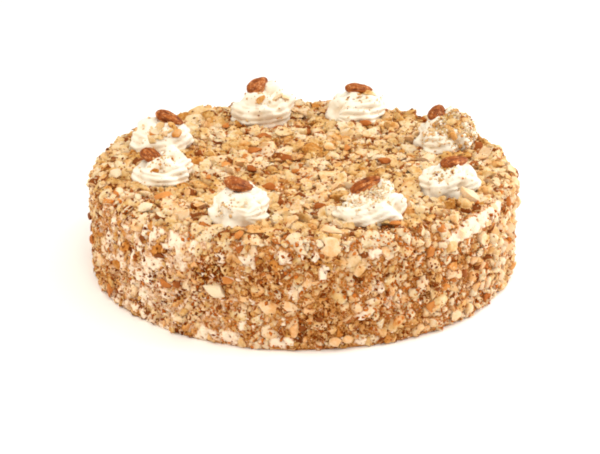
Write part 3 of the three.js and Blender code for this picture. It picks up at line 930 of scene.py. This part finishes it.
def large_nuts():
    """Corners, places and facing of the solids' chopped almonds, which keep clear of the rosettes."""
    random = seeded_random(LARGE_NUT_SEED)
    nuts = []
    for number in range(LARGE_NUT_COUNT):
        out, height, lean = coat_profile(large_nut_run((number + 0.5) / LARGE_NUT_COUNT))
        angle = number * GOLDEN_ANGLE
        lengths = LARGE_SIDE_LENGTH if lean > math.pi / 4 else LARGE_TOP_LENGTH
        length = between(lengths, next(random))
        width = length * between(LARGE_WIDTH_SHARE, next(random))
        thickness = length * between(LARGE_THICKNESS_SHARE, next(random))
        shifts = np.array([[next(random) for _ in range(3)] for _ in BLOCK_CORNERS])
        corners = (BLOCK_CORNERS / 2 + LARGE_CORNER_SHIFT * (2 * shifts - 1)) * [length, width, thickness]
        spin = next(random) * 2 * math.pi
        tilt = math.radians(LARGE_TILT) * (next(random) - 0.5) * 2
        corners = corners @ turn_about(0, tilt) @ turn_about(2, spin)
        corners = corners @ turn_about(1, lean) @ turn_about(2, angle)
        place = np.array([out * math.cos(angle), out * math.sin(angle), height])
        nuts.append([*(corners + place), place, direction(angle, lean)])
    nuts = np.array(nuts)
    clear = clear_of_rosettes(nuts[:, -2] + [0, 0, SEAT_GAP], LARGE_ROSETTE_CLEARANCE)
    return nuts[clear, :-2], nuts[clear, -2], nuts[clear, -1]


def add_large_nuts(finish):
    """The solids' blocks with their edges worn round."""
    rng = np.random.default_rng(LARGE_NUT_SEED)
    corners, places, facing = large_nuts()
    count = len(corners)
    block = as_form(ball(2))
    directions = unit(block.points)
    reach = (np.abs(directions) ** LARGE_SQUARENESS).sum(axis=1, keepdims=True)
    boxed = directions / reach ** (1 / LARGE_SQUARENESS)
    weights = np.prod((1 + boxed[:, None, :] * BLOCK_CORNERS[None]) / 2, axis=2)
    laid = np.einsum("vc,nck->nvk", weights, corners)
    depth, wavelength, seed = LARGE_WEAR
    wear = depth * soft_noise(laid, wavelength, seed)[..., None]
    laid += wear * unit(laid - laid.mean(axis=1, keepdims=True))
    picks = np.zeros(count, int)
    piece, owners, _ = add_heap("large_nuts", [block], picks, [laid], finish)
    middles = boxed[block.faces].mean(axis=1)
    sides = unit(rng.normal(size=(count, 3)))
    skin = np.einsum("fk,nk->nf", middles, sides) > LARGE_SKIN_FROM
    skin &= (rng.uniform(0, 1, count) < LARGE_SKINNED)[:, None]
    set_values(piece, "skin", skin, "FACE")
    set_tones(piece, places, facing, owners, rng)
    set_rise(piece, picks, [laid], places, facing)
    crisp(piece)
    return piece


# Rosettes and whole almonds

def coil_beads(rosette):
    """Middles, radii and headings of the beads of a rosette's coil."""
    done = np.linspace(0, 1, COIL_BEADS + 1)
    tube = rosette.radius * TUBE_SHARE
    tip = tube * TIP_SHARE
    heading = math.radians(rosette.start) + done * COIL_TURNS * 2 * math.pi
    sweep = (rosette.radius - tube) * (1 - done ** COIL_CLOSING)
    size = between((tube, tip), done) * (1 + SQUEEZE_SHARE * np.sin(SQUEEZES_PER_TURN * heading))
    rise = between((tube * START_RISE, rosette.height - tip), done ** COIL_RISE)
    middle = np.stack([
        sweep * np.cos(heading) + rosette.lean[0] * done,
        sweep * np.sin(heading) + rosette.lean[1] * done,
        rise + COIL_TILT * sweep * np.cos(heading),
    ], axis=1)
    return middle, size, heading


def folded(directions, number):
    """How far the folds of a rosette lift its surface."""
    lift = np.zeros(len(directions))
    for heading, height, spread, out in FOLDS[number]:
        middle = direction(math.radians(heading), math.radians(90 - height))
        apart = np.degrees(np.arccos(np.clip(directions @ middle, -1, 1)))
        lift += out * np.exp(-(apart / spread) ** 2)
    return lift


def rosette_reach(directions, number):
    """How far the lumpy coil, its nozzle ridges and the mound inside it reach from the rosette's foot."""
    rosette = ROSETTES[number]
    middle, size, heading = coil_beads(rosette)
    along = directions @ middle.T
    room = size ** 2 - (middle ** 2).sum(axis=1) + along ** 2
    hit = along + np.sqrt(np.maximum(room, 0))
    offset = directions[:, None] * hit[..., None] - middle
    outward = offset[..., 0] * np.cos(heading) + offset[..., 1] * np.sin(heading)
    turn = np.arctan2(offset[..., 2], outward) + RIDGE_TWISTS[number] * heading
    crest = np.abs(np.cos(RIDGE_COUNT / 2 * turn))
    coil = np.where(room > 0, hit + RIDGE_DEPTHS[number] * between(RIDGE_RANGE, crest), 0).max(axis=1)
    level = np.hypot(directions[:, 0], directions[:, 1]) / (rosette.radius * MOUND_SHARE[0])
    mound = 1 / np.hypot(level, directions[:, 2] / (rosette.height * MOUND_SHARE[1]))
    reach = np.maximum(coil, mound) + folded(directions, number)
    places = directions * reach[:, None] + rosette_foot(rosette)
    return reach + sum(depth * soft_noise(places, size, seed) for depth, size, seed in ROSETTE_LUMPS)


def rosette_rings(number):
    lean = np.linspace(0, math.pi / 2, ROSETTE_RINGS + 1)[:, None]
    directions = direction(np.linspace(0, 2 * math.pi, ROSETTE_COLUMNS, endpoint=False), lean)
    reach = rosette_reach(directions.reshape(-1, 3), number).reshape(directions.shape[:2])
    reach[0] = reach[0].mean()
    beside = (np.roll(reach, 1, axis=1) + np.roll(reach, -1, axis=1)) / 2
    reach = between((reach, beside), ROSETTE_SMOOTHING)
    rings = np.concatenate([directions * reach[..., None], groove_depth(reach)[..., None]], axis=-1)
    return np.concatenate([rings, np.zeros((1, ROSETTE_COLUMNS, 4))])


def groove_depth(reach):
    """How far each point of a rosette lies below the mean of what is around it, which paints shade into its
    grooves.
    """
    columns, rows = GROOVE_AROUND
    around = np.mean([np.roll(reach, turn, axis=1) for turn in range(-columns, columns + 1)], axis=0)
    padded = np.pad(around, ((rows, rows), (0, 0)), "edge")
    return np.mean([padded[row:row + len(reach)] for row in range(2 * rows + 1)], axis=0) - reach


def add_rosette(number, rosette, finish):
    skin, faces = closed_skin(rosette_rings(number - 1))
    points = skin[:, :3] + rosette_foot(rosette)
    piece = add_piece(f"piped_rosette_{number}", points, faces, finish, [f"rosette_{number}"])
    # Groove depth, which paints shade into the grooves
    set_values(piece, "groove", skin[:, 3])
    piece.data.shade_smooth()
    return piece


def almond_rings(number):
    """A wrinkled almond along x, with its pointed end at +x, and how high each wrinkle stands."""
    turn = np.linspace(0, math.pi, ALMOND_RINGS + 1)[:, None]
    around = np.linspace(0, 2 * math.pi, ALMOND_COLUMNS, endpoint=False)
    ways = direction(around, turn)[..., [2, 0, 1]]
    narrowing = 1 - ALMOND_TAPER * ways[..., :1] * [0, 1, 1]
    rings = ways * narrowing * [ALMOND_LENGTH, ALMOND_WIDTH, ALMOND_THICKNESS] / 2
    wrinkle = soft_noise(rings * WRINKLE_STRETCH, WRINKLE_WIDTH, WRINKLE_SEED + number) * np.sin(turn)
    wrinkle = wrinkle[..., None]
    outward = direction(around, math.pi / 2)[:, [2, 0, 1]]
    return np.concatenate([rings + WRINKLE_DEPTH * wrinkle * outward, wrinkle], axis=-1)


def add_almond(number, rosette, finish):
    almond = rosette.almond
    skin, faces = closed_skin(almond_rings(number))
    turned = turn_about(0, math.radians(almond.rolled)) @ turn_about(1, math.radians(-almond.raised))
    turned = turned @ turn_about(2, math.radians(almond.heading))
    points = skin[:, :3] @ turned + rosette_foot(rosette) + almond.at
    piece = add_piece(f"whole_almond_{number}", points, faces, finish, [f"almond_{number}"])
    set_values(piece, "wrinkle", 0.5 + 0.25 * skin[:, 3])
    piece.data.shade_smooth()


# Crumbs on the rosettes and nuts against them

# For each rosette, spots of crumbs: heading and height above its foot in degrees, spread, crumbs
CRUMB_SPOTS = (
    ((-60, 55, 16, 16), (20, 50, 15, 8), (-110, 50, 14, 6)),
    ((-70, 68, 12, 14), (-100, 50, 14, 10), (-40, 40, 12, 8)),
    ((-60, 58, 24, 320), (-15, 50, 24, 340), (-110, 45, 16, 130), (-60, 25, 16, 80)),
    ((-120, 58, 14, 26), (-90, 72, 14, 26), (-60, 62, 14, 14)),
    ((-85, 66, 13, 110), (-50, 60, 13, 60), (-140, 45, 14, 50), (0, 64, 12, 60)),
    ((-140, 36, 8, 8), (-122, 42, 8, 8), (-104, 48, 8, 8)),
    ((-60, 58, 16, 16), (-120, 52, 16, 14)),
    ((-80, 48, 20, 26), (-120, 40, 14, 10)),
)
# For each rosette, spots of larger pieces of nut, in the same way
NUT_SPOTS = (
    ((-95, 58, 5, 2), (-40, 60, 8, 2)),
    ((-20, 62, 5, 2),),
    ((-60, 48, 18, 6), (-15, 58, 12, 3), (-120, 56, 10, 2)),
    (),
    (),
    (),
    ((-130, 40, 8, 1),),
    ((-80, 52, 8, 5), (-55, 42, 8, 5), (-105, 38, 8, 4)),
)
STRAY_CRUMBS = (-90, 50, 45, 26)  # a wide spot on each rosette
STRAY_SPECKS = (-90, 50, 40, 40)
OUTSIDE = 0.1  # metres from a rosette's foot, well clear of the rosette
SPOT_WIDENING = 1.5  # how much wider than high a spot is, in degrees
ROSETTE_GROUND = 5.0  # crumbs are toned and raised as if the coat lay this far below them
SKIRT_OVERLAP = (-2.5, 2.0)  # from a rosette's foot outward
SKIRT_LEAN = 0.6
CRUMBS = Kind("rosette_crumbs", 21, 0, 3, (0.9, 3.2), (0.5, 0.9), (0.4, 0.7), 0.25, 0.4, 0.12)
SPECKS = Kind("rosette_specks", 22, 0, 2, (0.5, 1.5), (0.4, 0.9), (0.2, 0.4), 0.25, 0.4, 0)
ROSETTE_NUTS = Kind("rosette_nuts", 23, 2, 6, (4.0, 9.0), (0.6, 0.9), (0.5, 0.7), 0.3, 0.4, 0.3)
SKIRT_NUTS = Kind("skirt_nuts", 24, 2, 6, (3.5, 7.5), (0.6, 0.9), (0.5, 0.8), 0.1, 0.5, 0.35, 30)


def spot(heading, height, spread, count, rng):
    """Headings and heights in degrees, gathered about a spot."""
    turns = rng.normal(heading, SPOT_WIDENING * spread, count)
    return np.stack([turns, rng.normal(height, spread, count)], axis=1)


def on_rosette(piece, rosette, angles):
    """Points on a rosette in directions from its foot, and the way it faces there."""
    foot = Vector(rosette_foot(rosette)) * MM
    points, facing = [], []
    for heading, height in np.radians(angles):
        way = Vector(direction(heading, math.pi / 2 - height))
        hit, place, normal, _ = piece.ray_cast(foot + way * OUTSIDE, -way)
        if hit and place.z > foot.z:
            points.append(np.array(place) / MM)
            facing.append(np.array(normal))
    return np.array(points), np.array(facing)


def strew_rosettes(kind, rosettes, angles, finish, rng):
    """Adds pieces of a kind on all rosettes, at headings and heights for each of them."""
    places = [on_rosette(*pair) for pair in zip(rosettes, ROSETTES, angles)]
    points = np.concatenate([place[0] for place in places if len(place[0])])
    facing = np.concatenate([place[1] for place in places if len(place[0])])
    strew(kind, points, facing, points - ROSETTE_GROUND * facing, finish, rng)


def add_crumbs(rosettes, almond_finish, skin_finish):
    bpy.context.view_layer.update()
    rng = np.random.default_rng(CRUMBS.seed)
    stray = [spot(*STRAY_CRUMBS, rng) for _ in rosettes]
    crumbs = [np.concatenate([*(spot(*each, rng) for each in spots), loose])
              for spots, loose in zip(CRUMB_SPOTS, stray)]
    strew_rosettes(CRUMBS, rosettes, crumbs, almond_finish, rng)
    specks = [spot(*STRAY_SPECKS, rng) for _ in rosettes]
    strew_rosettes(SPECKS, rosettes, specks, skin_finish, rng)
    none = np.zeros((0, 2))
    nuts = [np.concatenate([none, *(spot(*each, rng) for each in spots)]) for spots in NUT_SPOTS]
    strew_rosettes(ROSETTE_NUTS, rosettes, nuts, almond_finish, rng)


def add_skirts(finish):
    """Nuts pushed up against the foot of each rosette."""
    rng = np.random.default_rng(SKIRT_NUTS.seed)
    count = SKIRT_NUTS.pieces
    points, facing = [], []
    for rosette in ROSETTES:
        angle = rng.uniform(0, 2 * math.pi, count)
        outward = direction(angle, math.pi / 2)
        reach = rosette.radius + rng.uniform(*SKIRT_OVERLAP, (count, 1))
        points.append(rosette_foot(rosette) + outward * reach)
        facing.append(unit(SKIRT_LEAN * outward + [0, 0, 1]))
    points, facing = np.concatenate(points), np.concatenate(facing)
    kept = np.hypot(points[:, 0], points[:, 1]) < FLAT_RADIUS
    strew(SKIRT_NUTS, points[kept], facing[kept], points[kept], finish, rng)


# Floor, light and camera, in metres apart from the floor

VIEW_DISTANCE = 0.95
VIEW_RAISED = math.radians(22.01)
VIEW_ASIDE = -0.0012
VIEW_HEIGHT = 0.0217
LENS = 92.4
SENSOR_WIDTH = 36.0
PIXEL_BLUR = 2.0
FLOOR_SIZE = 8000.0
AMBIENT = 0.33
AMBIENT_TINT = (1.0, 0.9, 0.74, 1.0)
LIT_PLACE = (0.0, 0.0, 0.04)
# Softboxes: name, place, power, size, tint
SOFTBOXES = (
    ("overhead", (0.0, 0.2, 2.2), 27.2, 2.4, (1.0, 0.99, 0.97)),
    ("right", (1.1, 0.25, 0.6), 18.5, 1.2, (1.0, 0.98, 0.96)),
    ("left", (-1.0, -0.3, 0.6), 6.3, 0.8, (1.0, 0.93, 0.82)),
    ("front", (0.0, -1.1, 0.95), 9.7, 0.8, (1.0, 0.95, 0.86)),
)


def add_floor():
    half = FLOOR_SIZE / 2
    corners = np.array([[-half, -half, 0], [half, -half, 0], [half, half, 0], [-half, half, 0]])
    floor = mesh_object("floor", corners, np.array([[0, 1, 2], [0, 2, 3]]), pale_floor())


def add_softbox(name, place, power, size, tint):
    lamp = bpy.data.lights.new(name, "AREA")
    lamp.energy = power
    lamp.size = size
    lamp.color = tint
    softbox = add_object(name, lamp)
    softbox.location = place
    aim = Vector(LIT_PLACE) - Vector(place)
    softbox.rotation_euler = aim.to_track_quat("-Z", "Y").to_euler()


def add_sky():
    sky = bpy.data.worlds.new("studio")
    sky.use_nodes = True
    background = sky.node_tree.nodes["Background"]
    background.inputs["Color"].default_value = AMBIENT_TINT
    background.inputs["Strength"].default_value = AMBIENT
    bpy.context.scene.world = sky


def add_camera():
    lens = bpy.data.cameras.new("camera")
    lens.lens = LENS
    lens.sensor_width = SENSOR_WIDTH
    camera = add_object("camera", lens)
    back = math.cos(VIEW_RAISED) * VIEW_DISTANCE
    rise = math.sin(VIEW_RAISED) * VIEW_DISTANCE + VIEW_HEIGHT
    camera.location = (VIEW_ASIDE, -back, rise)
    camera.rotation_euler = (math.pi / 2 - VIEW_RAISED, 0, 0)
    bpy.context.scene.camera = camera


coat = add_coat()
almond_pieces = chopped_almond()
skin_pieces = almond_skin_flake()
cover = [coat, add_large_nuts(almond_pieces)]
cover += [scatter(kind, almond_pieces) for kind in NUT_KINDS]
for kind in DUST_KINDS:
    scatter(kind, almond_pieces, cover)
for kind in FLAKE_KINDS:
    scatter(kind, skin_pieces, cover, FLAKE_CLUMPS)
add_clusters(skin_pieces, cover)
add_marked_nuts(almond_pieces)
cream = piped_cream()
whole_skin = almond_skin()
rosettes = []
for number, rosette in enumerate(ROSETTES, 1):
    rosettes.append(add_rosette(number, rosette, cream))
    add_almond(number, rosette, whole_skin)
add_skirts(almond_pieces)
add_crumbs(rosettes, almond_pieces, skin_pieces)

add_floor()
add_sky()
for softbox in SOFTBOXES:
    add_softbox(*softbox)
add_camera()
bpy.context.scene.view_settings.view_transform = "Standard"
bpy.context.scene.cycles.filter_width = PIXEL_BLUR
